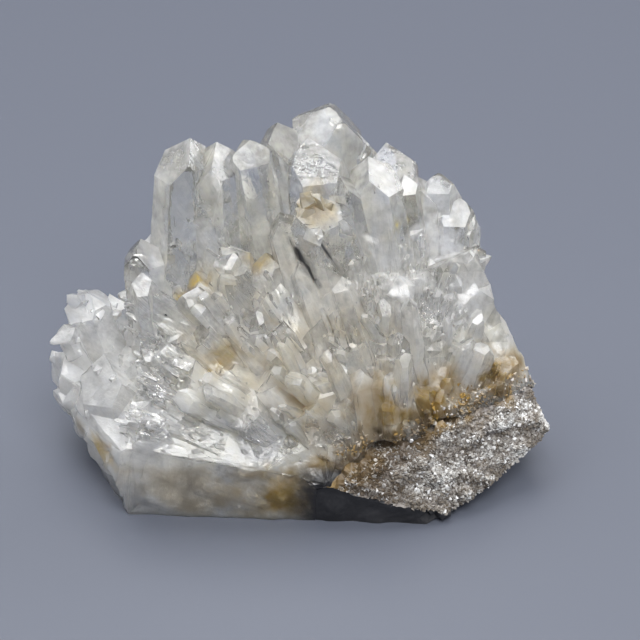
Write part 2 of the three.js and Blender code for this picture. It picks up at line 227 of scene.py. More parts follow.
def add_object(name, data):
    """A new object of a mesh, a lamp or a camera, in the scene."""
    thing = bpy.data.objects.new(name, data)
    bpy.context.scene.collection.objects.link(thing)
    return thing


def skin_of(piece):
    """The piece's faces, ready to be searched for the nearest point or for a ray's hit."""
    return bvhtree.BVHTree.FromObject(piece, bpy.context.evaluated_depsgraph_get())


# %% Weld the copies
WELD = 0.002 * MM


def merged_copy(node, name):
    shape = opened(node.data)
    bmesh.ops.remove_doubles(shape, verts=shape.verts, dist=WELD)
    return add_object(name, closed(shape, bpy.data.meshes.new(name)))


quartz = merged_copy(quartz_node, "quartz_crystals")
rock = merged_copy(rock_node, "granular_rock")
print("quartz", len(quartz.data.polygons), "faces; rock", len(rock.data.polygons), "faces")

# %% [markdown]
# ## The camera comes first
# The stains and the milky places are seen in the photograph, so they are easiest to note down as
# places in its frame. With the camera made first, a ray through such a place finds the point of
# the crystal that it belongs to, and the mark then sits in the solid from every side.

# %% Camera
FRAME_PIXELS = 640
SENSOR = 36.0
LENS = 153.8
ELEVATION = math.radians(35)
DISTANCE = 350 * MM
LOOK_AT = Vector((2.53, -1.08, 18.8)) * MM
BOUNCES = 24

FORWARD = Vector((0, math.cos(ELEVATION), -math.sin(ELEVATION)))
UPWARD = Vector((0, math.sin(ELEVATION), math.cos(ELEVATION)))
RIGHTWARD = Vector((1, 0, 0))

camera_data = bpy.data.cameras.new("camera")
camera_data.lens = LENS
camera_data.sensor_width = SENSOR
camera = add_object("camera", camera_data)
camera.location = LOOK_AT - DISTANCE * FORWARD
camera.rotation_euler = FORWARD.to_track_quat("-Z", "Y").to_euler()
bpy.context.scene.camera = camera
bpy.context.scene.cycles.max_bounces = BOUNCES
bpy.context.scene.cycles.transmission_bounces = BOUNCES
print("camera at", [round(value / MM) for value in camera.location], "mm")

# %% The point seen at a place in the frame
skins = [skin_of(piece) for piece in (quartz, rock)]


def seen_point(pixel):
    """The nearest point of the specimen along the ray through a pixel, 0 to 640 each way."""
    scale = SENSOR / LENS / FRAME_PIXELS
    across = (pixel[0] - FRAME_PIXELS / 2) * scale
    up = (FRAME_PIXELS / 2 - pixel[1]) * scale
    ray = (FORWARD + RIGHTWARD * across + UPWARD * up).normalized()
    hits = [skin.ray_cast(camera.location, ray) for skin in skins]
    found = [hit for hit in hits if hit[0] is not None]
    return min(found, key=lambda hit: hit[3])[0] if found else None


print("frame middle sees", [round(value / MM, 1) for value in seen_point((320, 320))], "mm")

# %% [markdown]
# ## A solid behind planes
# Quartz is a six-sided prism under a six-sided point, and no two crystals have faces of the same
# size. Each small crystal is cut from a block by one plane after another, with each plane's
# distance strayed a little, which gives the uneven faces of real ones.

# %% Cut a solid out of a block
def cut_block(name, half_size, planes):
    """A closed convex mesh: a block cut by planes, each a point on it and the way that it faces."""
    shape = bmesh.new()
    bmesh.ops.create_cube(shape, size=2 * half_size)
    for point, outward in planes:
        cut = bmesh.ops.bisect_plane(
            shape,
            geom=shape.verts[:] + shape.edges[:] + shape.faces[:],
            plane_co=point,
            plane_no=outward,
            clear_outer=True,
        )
        rim = [part for part in cut["geom_cut"] if isinstance(part, bmesh.types.BMEdge)]
        if rim:
            bmesh.ops.contextual_create(shape, geom=rim)
    bmesh.ops.recalc_face_normals(shape, faces=shape.faces)
    return closed(shape, bpy.data.meshes.new(name))


def leaning(angle, lean):
    """The way that leans from straight up, towards an angle round the upright."""
    return Vector((math.cos(angle) * math.sin(lean), math.sin(angle) * math.sin(lean), math.cos(lean)))


# %% A small quartz crystal
PRISM_SIDES = 6
SIDE_LEAN = math.radians(88)
SIDE_DISTANCE = (0.72, 1.0)
TIP_LEAN = math.radians(51.8)
TIP_SHIFT = (-0.55, 0.05)
WORN_LEAN = (0.05, 0.5)
WORN_HEIGHT = (0.82, 0.97)
FOOT_DEPTH = 0.5
BLOCK_SIZE = 2


def small_crystal(name, length):
    """A quartz crystal one unit in radius, from a little below the origin up to its length."""
    planes = []
    turned = random.random() * math.pi
    for side in range(PRISM_SIDES):
        angle = turned + side * math.tau / PRISM_SIDES
        out = leaning(angle, SIDE_LEAN)
        planes.append((out * random.uniform(*SIDE_DISTANCE), out))
        up = leaning(angle, TIP_LEAN)
        planes.append((Vector((0, 0, length)) + up * random.uniform(*TIP_SHIFT), up))
    worn = leaning(random.random() * math.tau, random.uniform(*WORN_LEAN))
    planes.append((Vector((0, 0, length * random.uniform(*WORN_HEIGHT))), worn))
    planes.append((Vector((0, 0, -length * FOOT_DEPTH)), Vector((0, 0, -1))))
    return cut_block(name, length * BLOCK_SIZE, planes)


# %% Splinters and grains
CHIP_CUTS = 9
CHIP_DISTANCE = (0.45, 0.9)
CHIP_FLATNESS = 0.8
GRAIN_POINTS = 7
GRAIN_DISTANCE = (0.8, 1.0)


def any_way(flatness=1.0):
    """A random way from the middle, closer to level where the flatness is below 1."""
    return Vector((random.gauss(0, 1), random.gauss(0, 1), random.gauss(0, flatness))).normalized()


def chip(name):
    """A splinter with no regular shape, about one unit in radius."""
    planes = []
    for cut in range(CHIP_CUTS):
        out = any_way(CHIP_FLATNESS)
        planes.append((out * random.uniform(*CHIP_DISTANCE), out))
    return cut_block(name, 1, planes)


def grain(name):
    """A sharp grain: the hull round a few points on a ball one unit in radius."""
    shape = bmesh.new()
    for point in range(GRAIN_POINTS):
        shape.verts.new(any_way() * random.uniform(*GRAIN_DISTANCE))
    hull = bmesh.ops.convex_hull(shape, input=shape.verts)
    inner = [part for part in hull["geom_interior"] if isinstance(part, bmesh.types.BMVert)]
    bmesh.ops.delete(shape, geom=inner, context="VERTS")
    bmesh.ops.recalc_face_normals(shape, faces=shape.faces)
    return closed(shape, bpy.data.meshes.new(name))


# %% Kits of shapes to scatter
CRYSTAL_LENGTHS = (2.4, 3.0, 3.6, 4.4, 5.2, 6.0)
CHIP_KINDS = 8
GRAIN_KINDS = 12


def kit(name, meshes):
    """A collection of shapes, kept out of the render, that a tree picks from."""
    collection = bpy.data.collections.new(name)
    for mesh in meshes:
        collection.objects.link(bpy.data.objects.new(mesh.name, mesh))
    print(name, "faces of each shape:", [len(mesh.polygons) for mesh in meshes])
    return collection


crystal_kit = kit("crystal_kit", [small_crystal("crystal", length) for length in CRYSTAL_LENGTHS])
chip_kit = kit("chip_kit", [chip("chip") for kind in range(CHIP_KINDS)])
grain_kit = kit("grain_kit", [grain("grain") for kind in range(GRAIN_KINDS)])

# %% [markdown]
# ## One tree that scatters
# Small crystals on the spray, cracks under its faces and grains on the rock are all many copies of
# a few shapes, each turned and sized by chance. One Geometry Nodes tree does all three: it puts
# points on a surface where the face attribute "share" allows, lifts or sinks them along the
# surface's normal, stands a shape on each and makes the copies real.

# %% The tree's inputs
SCATTER_INPUTS = {
    "Kit": "NodeSocketCollection",
    "Material": "NodeSocketMaterial",
    "Spacing": "NodeSocketFloat",
    "Most per area": "NodeSocketFloat",
    "Smallest": "NodeSocketFloat",
    "Largest": "NodeSocketFloat",
    "Lowest lift": "NodeSocketFloat",
    "Highest lift": "NodeSocketFloat",
    "Follow normal": "NodeSocketFloat",
    "Follow spray": "NodeSocketFloat",
    "Stray": "NodeSocketFloat",
    "Spray centre": "NodeSocketVector",
    "Seed": "NodeSocketInt",
}
print("inputs:", ", ".join(SCATTER_INPUTS))

# %% Inputs and chance in the tree
def given(tree, name):
    """A named input of the tree."""
    return add_node(tree, "NodeGroupInput").output(name)


# The sockets of each kind of random value: its lowest, its highest and its result.
RANDOM_SOCKETS = {"FLOAT_VECTOR": (0, 1, 0), "FLOAT": (2, 3, 1)}


def chance(tree, low, high, step, kind="FLOAT"):
    """A random value for each point, whose step keeps it apart from the others."""
    lowest, highest, result = RANDOM_SOCKETS[kind]
    return add_node(
        tree,
        "FunctionNodeRandomValue",
        {"data_type": kind},
        {lowest: low, highest: high, "Seed": given(tree, "Seed") + step},
    ).output(result)


# %% The points, and which way a shape on each one stands
def spread_points(tree):
    share = add_node(
        tree,
        "GeometryNodeInputNamedAttribute",
        {"data_type": "FLOAT"},
        {"Name": "share"},
    )
    return add_node(
        tree,
        "GeometryNodeDistributePointsOnFaces",
        {"distribute_method": "POISSON"},
        {
            "Mesh": given(tree, "Geometry"),
            "Distance Min": given(tree, "Spacing"),
            "Density Max": given(tree, "Most per area"),
            "Density Factor": share,
            "Seed": given(tree, "Seed"),
        },
    )


def standing(tree, normal):
    """Along the normal, away from the spray's centre and astray, by the inputs' shares."""
    place = add_node(tree, "GeometryNodeInputPosition")
    ray = vector_maths("NORMALIZE", vector_maths("SUBTRACT", place, given(tree, "Spray centre")))
    by_normal = scaled(normal, given(tree, "Follow normal"))
    by_spray = scaled(ray, given(tree, "Follow spray"))
    any_turn = chance(tree, (-1, -1, -1), (1, 1, 1), step=2, kind="FLOAT_VECTOR")
    astray = scaled(any_turn, given(tree, "Stray"))
    upright = add_node(
        tree,
        "FunctionNodeAlignRotationToVector",
        {"axis": "Z"},
        {"Vector": vector_maths("ADD", vector_maths("ADD", by_normal, by_spray), astray)},
    )
    spin = add_node(
        tree,
        "FunctionNodeAxisAngleToRotation",
        {},
        {"Axis": (0, 0, 1), "Angle": chance(tree, 0.0, math.tau, step=3)},
    )
    return add_node(
        tree,
        "FunctionNodeRotateRotation",
        {"rotation_space": "LOCAL"},
        {"Rotation": upright, "Rotate By": spin},
    )


# %% Build the scatter tree
def build_scatter_tree():
    tree = bpy.data.node_groups.new("scatter", "GeometryNodeTree")
    face = tree.interface
    face.new_socket("Geometry", in_out="INPUT", socket_type="NodeSocketGeometry")
    for name, kind in SCATTER_INPUTS.items():
        face.new_socket(name, in_out="INPUT", socket_type=kind)
    face.new_socket("Geometry", in_out="OUTPUT", socket_type="NodeSocketGeometry")

    points = spread_points(tree)
    normal = points.output("Normal")
    lift = chance(tree, given(tree, "Lowest lift"), given(tree, "Highest lift"), step=1)
    lifted = add_node(
        tree,
        "GeometryNodeSetPosition",
        {},
        {"Geometry": points, "Offset": scaled(normal, lift)},
    )
    shapes = add_node(
        tree,
        "GeometryNodeCollectionInfo",
        {},
        {"Collection": given(tree, "Kit"), "Separate Children": True, "Reset Children": True},
    )
    smallest = given(tree, "Smallest")
    share = chance(tree, 0.0, 1.0, step=4)
    copies = add_node(
        tree,
        "GeometryNodeInstanceOnPoints",
        {},
        {
            "Points": lifted,
            "Instance": shapes,
            "Pick Instance": True,
            "Rotation": standing(tree, normal),
            "Scale": share * share * (given(tree, "Largest") - smallest) + smallest,
        },
    )
    toned = add_node(
        tree,
        "GeometryNodeStoreNamedAttribute",
        {"data_type": "FLOAT", "domain": "INSTANCE"},
        {"Geometry": copies, "Name": "tone", "Value": chance(tree, 0.0, 1.0, step=5)},
    )
    real = add_node(tree, "GeometryNodeRealizeInstances", {}, {"Geometry": toned})
    finished = add_node(
        tree,
        "GeometryNodeSetMaterial",
        {},
        {"Geometry": real, "Material": given(tree, "Material")},
    )
    add_node(tree, "NodeGroupOutput", {}, {"Geometry": finished})
    return tree


scatter_tree = build_scatter_tree()
print("scatter tree with", len(scatter_tree.nodes), "nodes")

# %% Run the scatter tree on a surface
SPRAY_CENTRE = Vector((15, -14, -6)) * MM


def scatter(surface, name, shapes, seed, spacing, most, sizes, lifts, normal, spray, stray):
    """The copies that the tree puts on a surface, as one plain mesh object.

    Lengths are in mm, and most is the largest number of copies on a square metre.
    """
    wanted = {
        "Kit": shapes,
        "Seed": seed,
        "Spacing": spacing * MM,
        "Most per area": most,
        "Smallest": sizes[0] * MM,
        "Largest": sizes[1] * MM,
        "Lowest lift": lifts[0] * MM,
        "Highest lift": lifts[1] * MM,
        "Follow normal": normal,
        "Follow spray": spray,
        "Stray": stray,
        "Spray centre": SPRAY_CENTRE,
    }
    modifier = surface.modifiers.new(name, "NODES")
    modifier.node_group = scatter_tree
    for item in scatter_tree.interface.items_tree:
        if item.in_out == "INPUT" and item.name in wanted:
            modifier[item.identifier] = wanted[item.name]
    evaluated = surface.evaluated_get(bpy.context.evaluated_depsgraph_get())
    mesh = bpy.data.meshes.new_from_object(evaluated)
    mesh.name = name
    surface.modifiers.remove(modifier)
    print(name, "with", len(mesh.polygons), "faces")
    return add_object(name, mesh)


# %% Join shapes into one skin
def join(piece, others):
    """Adds other meshes to the piece's mesh, and removes them."""
    shape = opened(piece.data)
    for part in others:
        shape.from_mesh(part.data)
        bpy.data.objects.remove(part)
    closed(shape, piece.data)


def grow_together(piece, other):
    """Joins another mesh of closed shapes, which may cross each other, to the piece as one skin."""
    modifier = piece.modifiers.new("grow_together", "BOOLEAN")
    modifier.operation = "UNION"
    modifier.solver = "EXACT"
    modifier.use_self = True
    modifier.object = other
    evaluated = piece.evaluated_get(bpy.context.evaluated_depsgraph_get())
    mesh = bpy.data.meshes.new_from_object(evaluated)
    piece.modifiers.remove(modifier)
    piece.data = mesh
    bpy.data.objects.remove(other)


# %% Values for each face
def face_values(piece, name, rule):
    """Fills a face attribute from a rule on each face's middle and normal."""
    values = [float(rule(face.center, face.normal)) for face in piece.data.polygons]
    if name in piece.data.attributes:
        piece.data.attributes.remove(piece.data.attributes[name])
    piece.data.attributes.new(name, "FLOAT", "FACE").data.foreach_set("value", values)


# %% [markdown]
# ## The crystals' skin
# The frame's solid has the main crystals. The real specimen also has hundreds of small ones
# between them, slim prisms that lie along the spray on the broken front, and splinters on the
# massive quartz at its two ends. They are grown with the tree and then joined to the solid by an
# exact Boolean, so the clear quartz stays one body with no walls inside.

# %% Divide a surface for even scattering
SKIN_EDGE = 1.5 * MM
SKIN_ROUNDS = 4


def divide(shape, chosen, longest_edge):
    """Cuts the chosen faces into triangles until their edges are short."""
    bmesh.ops.triangulate(shape, faces=[face for face in shape.faces if chosen(face)])
    for round_number in range(SKIN_ROUNDS):
        faces = [face for face in shape.faces if chosen(face)]
        edges = {edge for face in faces for edge in face.edges if edge.calc_length() > longest_edge}
        bmesh.ops.subdivide_edges(shape, edges=list(edges), cuts=1)
        bmesh.ops.triangulate(shape, faces=[face for face in shape.faces if len(face.verts) > 3])


def emitter_of(piece, longest_edge):
    """A copy of the piece's mesh with short edges, for even scattering."""
    shape = opened(piece.data)
    divide(shape, lambda face: True, longest_edge)
    return add_object("emitter", closed(shape, bpy.data.meshes.new("emitter")))


emitter = emitter_of(quartz, SKIN_EDGE)
print("emitter with", len(emitter.data.polygons), "faces")

# %% Where small things grow
PRISM_ZONES = (
    ((-14, -25, 9), (22, 0, 25), 3),
    ((4, -25, 9), (26, 6, 19), 3),
    ((-20, 4, 6), (24, 25, 22), 4),
)
CHIP_ZONES = (
    ((-40, -25, 13), (-10, 25, 24), 3),
    ((-40, -25, 5), (-22, 25, 20), 3),
    ((10, -14, 14), (26, 12, 32), 3),
    ((-30, 0, 3), (30, 25, 20), 4),
)
SUGAR_ZONES = (
    ((1, -22, 1), (33, 4, 14.5), 2),
)
CHIP_SPOTS = (
    ((306, 208), 3.5),
    ((325, 212), 2.5),
    ((235, 262), 3.0),
    ((85, 376), 3.0),
    ((85, 304), 3.0),
    ((384, 175), 2.5),
)
PATCH_SIZE = 4 * MM
PATCH_MIDDLE = 0.5
PATCHINESS = 1.5
SUGAR_PATCHINESS = 2.2
SPOT_REACH = 1.5


def clamp(value, low=0.0, high=1.0):
    return max(low, min(high, value))


def in_zone(middle, zone):
    """1 well inside a zone of the solid, given in mm as low corner, high corner, soft edge."""
    low, high, soft = zone
    share = 1.0
    for value, start, end in zip(middle / MM, low, high):
        share *= clamp((value - start) / soft) * clamp((end - value) / soft)
    return share


def nearness(place, centre, radius, reach):
    """1 close to a centre, falling to 0 at its reach, a number of radii away."""
    return clamp(reach - (place - centre).length / radius)


def zone_rule(zones, patchiness, spots=()):
    """A share for each face: how far it lies in a zone, broken into patches, or on a spot."""
    def share(middle, normal):
        patch = PATCH_MIDDLE + noise.noise(middle / PATCH_SIZE) * patchiness
        near = [nearness(middle, point, radius, SPOT_REACH) for point, radius in spots]
        return clamp(max([in_zone(middle, zone) * patch for zone in zones] + near))

    return share


chip_points = [(seen_point(pixel), radius * MM) for pixel, radius in CHIP_SPOTS]
print("spots with splinters:", len(chip_points))

# %% Slim prisms along the spray
face_values(emitter, "share", zone_rule(PRISM_ZONES, PATCHINESS))
prisms = scatter(
    emitter, "slim_prisms", crystal_kit, seed=11,
    spacing=1.5, most=1.8e6, sizes=(0.5, 1.6),
    lifts=(-2.2, -0.1),
    normal=0.3, spray=1.0, stray=0.16,
)

# %% Splinters on the massive quartz
face_values(emitter, "share", zone_rule(CHIP_ZONES, PATCHINESS, chip_points))
splinters = scatter(
    emitter, "splinters", chip_kit, seed=12,
    spacing=1.5, most=1.6e6, sizes=(0.5, 1.8),
    lifts=(-1.3, -0.5),
    normal=0.6, spray=0.6, stray=0.6,
)

# %% [markdown]
# ## Fine needles and sugary grains
# The broken front shines silver in streaks, because bundles of needles thinner than a hair end
# there, and close above the rock the quartz is as grainy as sugar. Both are small copies again. The
# silver marks are kept, since the finish reads the same places.

# %% Fine needles where the front shines silver
SILVER_MARKS = (
    ((130, 315), 2.0, 1.0),
    ((152, 350), 3.0, 1.0),
    ((158, 385), 3.5, 1.0),
    ((175, 352), 2.0, 0.8),
    ((150, 425), 3.5, 0.9),
    ((200, 425), 3.5, 0.8),
    ((258, 435), 3.0, 1.0),
    ((225, 395), 3.0, 0.6),
    ((291, 443), 2.0, 0.9),
    ((311, 426), 2.0, 0.9),
    ((335, 438), 2.5, 0.9),
    ((280, 300), 3.0, 0.5),
    ((235, 310), 3.0, 0.6),
    ((370, 290), 2.8, 0.9),
    ((345, 350), 2.5, 0.6),
    ((402, 268), 2.8, 0.8),
    ((430, 312), 4.0, 1.0),
    ((450, 340), 3.0, 0.7),
    ((421, 245), 1.5, 0.9),
    ((215, 237), 2.0, 0.7),
    ((486, 371), 1.8, 0.9),
    ((400, 350), 3.0, 0.6),
)
SILVER_REACH = 1.4
silver_points = [
    (seen_point(pixel), radius * MM, strength)
    for pixel, radius, strength in SILVER_MARKS
]


def silver_share(middle, normal):
    return max(
        strength * nearness(middle, point, radius, SILVER_REACH)
        for point, radius, strength in silver_points
    )


face_values(emitter, "share", silver_share)
needles = scatter(
    emitter, "needles", crystal_kit, seed=13,
    spacing=0.5, most=6e6, sizes=(0.14, 0.42),
    lifts=(-0.5, -0.05),
    normal=0.35, spray=1.0, stray=0.3,
)

# %% Sugary grains above the rock
face_values(emitter, "share", zone_rule(SUGAR_ZONES, SUGAR_PATCHINESS))
sugar = scatter(
    emitter, "sugar", chip_kit, seed=14,
    spacing=0.7, most=3e6, sizes=(0.25, 0.75),
    lifts=(-0.5, -0.1),
    normal=0.8, spray=0.5, stray=0.7,
)

# %% [markdown]
# ## Grow the small shapes together with the crystals
# Clear shapes that only cross each other would show their buried walls. An exact Boolean takes
# those walls out. It is slow, so all small shapes are joined first and need only one union.

# %% Grow them together
join(prisms, (splinters, needles, sugar))
grow_together(quartz, prisms)
print("one skin with", len(quartz.data.polygons), "faces")

# %% [markdown]
# ## Each facet has its own clearness
# On the real cluster one face is clear, the next is frosted and the next has a tint, and that is
# how the eye tells the crystals apart. Faces that lie in one plane belong to one facet, so a random
# number drawn from the plane itself gives the whole facet one value.

# %% Number the facets
NORMAL_STEP = 0.05
PLANE_STEP = 0.15 * MM


def facet_value(middle, normal):
    """A random number that all faces of one plane share."""
    turn = [round(part / NORMAL_STEP) for part in normal]
    return random.Random(repr((turn, round(middle.dot(normal) / PLANE_STEP)))).random()


face_values(quartz, "facet", facet_value)
face_values(quartz, "silver", silver_share)
print("facets numbered on", len(quartz.data.polygons), "faces")

# %% [markdown]
# ## Worn and lumpy skin
# Only the tall crystals have true flat faces. Lower down the quartz is etched and broken, and its
# skin is uneven. Faces there are divided and pushed about by less than half a millimetre, and edges
# that meet at a steep angle stay sharp. Noise of the place itself moves the quartz and the rock
# alike, so the two still meet.

# %% Wear the skin
WEAR_EDGE = 1.1 * MM
WEAR_SIZE = 2.6 * MM
WEAR_FINER = 4
WEAR_FINE = 0.3
SHARP_ANGLE = math.radians(35)
BASE_TOP = 9.0 * MM
BASE_STEEP = 0.4
BASE_DEPTH = 0.45 * MM
LUMP_TOP = 31.0
LUMP_EDGE = 8.0
LUMP_DEPTH = 0.42 * MM
LUMP_LEAST = 0.08
WEAR_LEAST = 0.05


def wear(piece, share_at, depth, outward=(1, 1, 1)):
    """Divides the faces with a share, pushes their points about and shades them smooth."""
    shape = opened(piece.data)
    worn = shape.faces.layers.float.new("worn")
    for face in shape.faces:
        face[worn] = float(share_at(face.calc_center_median(), face.normal))
    divide(shape, lambda face: face[worn] > 0, WEAR_EDGE)
    shape.normal_update()
    moves = {}
    for face in shape.faces:
        if face[worn] > WEAR_LEAST:
            face.smooth = True
            for vert in face.verts:
                wide = noise.noise(vert.co / WEAR_SIZE)
                fine = noise.noise(vert.co / WEAR_SIZE * WEAR_FINER) * WEAR_FINE
                moves[vert] = vert.normal * Vector(outward) * (wide + fine) * depth * face[worn]
    for vert, move in moves.items():
        vert.co += move
        vert.co.z = max(vert.co.z, 0)
    for edge in shape.edges:
        edge.smooth = edge.calc_face_angle(math.pi) < SHARP_ANGLE
    shape.faces.layers.float.remove(worn)
    closed(shape, piece.data)
    return len(moves)


def base_share(middle, normal):
    return middle.z < BASE_TOP and abs(normal.z) < BASE_STEEP


def lump_share(middle, normal):
    """How lumpy the skin is: all of it low down, hardly high up and nothing underneath."""
    if base_share(middle, normal) or middle.z < BASE_DEPTH:
        return 0.0
    return clamp((LUMP_TOP - middle.z / MM) / LUMP_EDGE, LUMP_LEAST)


print("worn points:", wear(quartz, base_share, BASE_DEPTH, (1, 1, 0)))
print("lumpy points:", wear(quartz, lump_share, LUMP_DEPTH))

# %% [markdown]
# ## Silvery cracks
# Milky quartz owes its silver flashes to healed fractures: thin films of air or water that mirror
# the light. A picture of a flash would stay put when the eye moves, so each crack here is a real
# cavity, a bent lens a few hundredths of a millimetre thick, whose walls face into it.

# %% The shape of a crack
CRACK_SPOKES = 9
CRACK_RINGS = (0.66, 0.3)
CRACK_OUTLINE = (0.6, 1.0)
CRACK_THICKNESS = 0.03
CRACK_WAVE = 0.5
CRACK_WAVINESS = 0.9
CRACK_SHIFT = 50
CRACK_KINDS = 6


def crack(name):
    """A thin closed lens one unit in radius, bent like a healed fracture."""
    shape = bmesh.new()
    shift = random.uniform(0, CRACK_SHIFT)
    outline = [random.uniform(*CRACK_OUTLINE) for spoke in range(CRACK_SPOKES)]

    def point(x, y, share, side):
        bend = CRACK_WAVE * noise.noise(Vector((x * CRACK_WAVINESS + shift, y * CRACK_WAVINESS, shift)))
        return shape.verts.new((x, y, bend + side * CRACK_THICKNESS * (1 - share**2) / 2))

    def ring(share, side):
        verts = []
        for spoke in range(CRACK_SPOKES):
            angle = spoke * math.tau / CRACK_SPOKES
            reach = share * outline[spoke]
            verts.append(point(reach * math.cos(angle), reach * math.sin(angle), share, side))
        return verts

    rim = ring(1, 0)
    for side in (1, -1):
        rings = [rim] + [ring(share, side) for share in CRACK_RINGS]
        middle = point(0, 0, 0, side)
        for outer, inner in zip(rings, rings[1:]):
            for spoke in range(CRACK_SPOKES):
                following = (spoke + 1) % CRACK_SPOKES
                shape.faces.new((outer[spoke], outer[following], inner[following], inner[spoke]))
        for spoke in range(CRACK_SPOKES):
            shape.faces.new((rings[-1][spoke], rings[-1][(spoke + 1) % CRACK_SPOKES], middle))
    bmesh.ops.recalc_face_normals(shape, faces=shape.faces)
    return closed(shape, bpy.data.meshes.new(name))


crack_kit = kit("crack_kit", [crack("crack") for kind in range(CRACK_KINDS)])

# %% Closed shapes put into a solid as cavities
CRACK_WALL = 0.05 * MM


def islands_of(shape):
    """The mesh's separate closed shapes, each a list of its points."""
    waiting = set(shape.verts)
    while waiting:
        island = [waiting.pop()]
        for vert in island:
            linked = [edge.other_vert(vert) for edge in vert.link_edges]
            fresh = [other for other in linked if other in waiting]
            waiting.difference_update(fresh)
            island.extend(fresh)
        yield island


def hollow_out(piece, cavities, wall):
    """Turns the closed shapes that lie wholly under the solid's skin into cavities of it."""
    skin = skin_of(piece)

    def inside(vert):
        near, normal, face, distance = skin.find_nearest(vert.co)
        return distance > wall and (near - vert.co).dot(normal) > 0

    shape = opened(cavities.data)
    kept = 0
    outside = []
    for island in islands_of(shape):
        if all(inside(vert) for vert in island):
            kept += 1
        else:
            outside.extend(island)
    bmesh.ops.delete(shape, geom=outside, context="VERTS")
    bmesh.ops.reverse_faces(shape, faces=shape.faces)
    shape.from_mesh(piece.data)
    piece.data = closed(shape, bpy.data.meshes.new(piece.name))
    bpy.data.objects.remove(cavities)
    return kept


# %% Put the cracks in
WHITE_CRACKS = 0.3
CRACK_TOP = 34.0
CRACK_FADE = 20.0
CRACK_LEAST = 0.1


def crack_share(middle, normal):
    """Few cracks near the tips, and more of them lower down."""
    return clamp(CRACK_LEAST + clamp((CRACK_TOP - middle.z / MM) / CRACK_FADE))


face_values(emitter, "share", crack_share)
cracks = scatter(
    emitter, "cracks", crack_kit, seed=23,
    spacing=1.4, most=5e5, sizes=(0.5, 2.6),
    lifts=(-3.0, -0.3),
    normal=0.5, spray=0.0, stray=1.0,
)
face_values(cracks, "facet", lambda middle, normal: random.random() < WHITE_CRACKS)
print("cracks kept:", hollow_out(quartz, cracks, CRACK_WALL))
bpy.data.objects.remove(emitter)

# %% [markdown]
# ## Grains of the rock
# The rock is packed from grains about half a millimetre wide, some white, some grey and some dark,
# and broken so that each glints by itself. Bump on a smooth lump would not catch light like that,
# so thousands of grains of a few faces each stand on a hull that is drawn in by their height. Each
# keeps a random tone, which the finish turns into its colour.

# %% Where the rock's front and its seam lie
GRAIN_HEIGHT = 0.2 * MM
SEAM_REACH = 0.75 * MM
SEAM_PUSH = 0.45 * MM
SEAM_FACING = 0.85
ROCK_EDGE = 0.7 * MM
MELT_ROUNDS = 4
MELT_SHARE = 0.5
UNDERSIDE_NORMAL = -0.9
FRONT_NORMAL = -0.5
FRONT_PLACE = -15.5 * MM
FRONT_START = 2.5
FRONT_TOP = 5.8
FRONT_FALL = 0.28


def is_front(middle, normal):
    """Whether a place lies on the smooth broken front, whose top edge falls to the right."""
    top = FRONT_TOP - FRONT_FALL * (middle.x / MM - FRONT_START)
    facing = normal.y < FRONT_NORMAL or middle.y < FRONT_PLACE
    return facing and middle.z / MM < top


def grain_rule(neighbour):
    """Grains stand everywhere but underneath, on the smooth front and on the hidden seam."""
    skin = skin_of(neighbour)

    def share(middle, normal):
        near, facing, face, distance = skin.find_nearest(middle)
        hidden = distance < SEAM_REACH and (near - middle).normalized().dot(normal) > SEAM_FACING
        bare = hidden or normal.z < UNDERSIDE_NORMAL or is_front(middle, normal)
        return 0.0 if bare else 1.0

    return share


# %% Draw the hull in, and close it against the quartz
def melt_knobs(piece):
    """Divides the rock and evens its knobs out, as the grains bring their own roughness."""
    shape = opened(piece.data)
    divide(shape, lambda face: True, ROCK_EDGE)
    for round_number in range(MELT_ROUNDS):
        high = [vert for vert in shape.verts if vert.co.z > ROCK_EDGE]
        bmesh.ops.smooth_vert(
            shape,
            verts=[vert for vert in high if not is_front(vert.co, vert.normal)],
            factor=MELT_SHARE,
            use_axis_x=True,
            use_axis_y=True,
            use_axis_z=True,
        )
    closed(shape, piece.data)


def fit_hull(piece, neighbour):
    """Moves the hull in by the grains' height, but out where it meets the quartz."""
    skin = skin_of(neighbour)
    shape = opened(piece.data)
    shape.normal_update()
    moves = {}
    for vert in shape.verts:
        near, normal, face, distance = skin.find_nearest(vert.co)
        if distance < SEAM_REACH:
            moves[vert] = (near - vert.co).normalized() * SEAM_PUSH
        elif vert.co.z > GRAIN_HEIGHT and not is_front(vert.co, vert.normal):
            moves[vert] = -vert.normal * GRAIN_HEIGHT
    for vert, move in moves.items():
        vert.co += move
        vert.co.z = max(vert.co.z, 0)
    closed(shape, piece.data)


melt_knobs(rock)
rock_emitter = emitter_of(rock, ROCK_EDGE)
face_values(rock_emitter, "share", grain_rule(quartz))
# The front share is where the hull takes the painted shade of the smooth front.
face_values(rock, "front", is_front)
fit_hull(rock, quartz)
print("worn points of the front:", wear(rock, is_front, BASE_DEPTH, (1, 1, 0)))

# %% Grains on the rock
grains = scatter(
    rock_emitter, "rock_grains", grain_kit, seed=31,
    spacing=0.19, most=9e7, sizes=(0.15, 0.42),
    lifts=(-0.26, -0.1),
    normal=1.0, spray=0.0, stray=1.0,
)
bpy.data.objects.remove(rock_emitter)

# %% [markdown]
# ## Grains that cling to the quartz
# Rock and quartz grew together, so the real seam is not a line: grains of rock reach a few
# millimetres onto the quartz, in patches that thin out. The same tree sets the same grains there.

# %% Grains that cling to the quartz along the rock
BORDER_EDGE = 2.0 * MM
CLING_REACH = 3.2 * MM
CLING_FADE = 2.4 * MM
CLING_MIDDLE = 0.8
CLING_PATCHINESS = 1.2
RAGGED_WIDE = 4.0 * MM


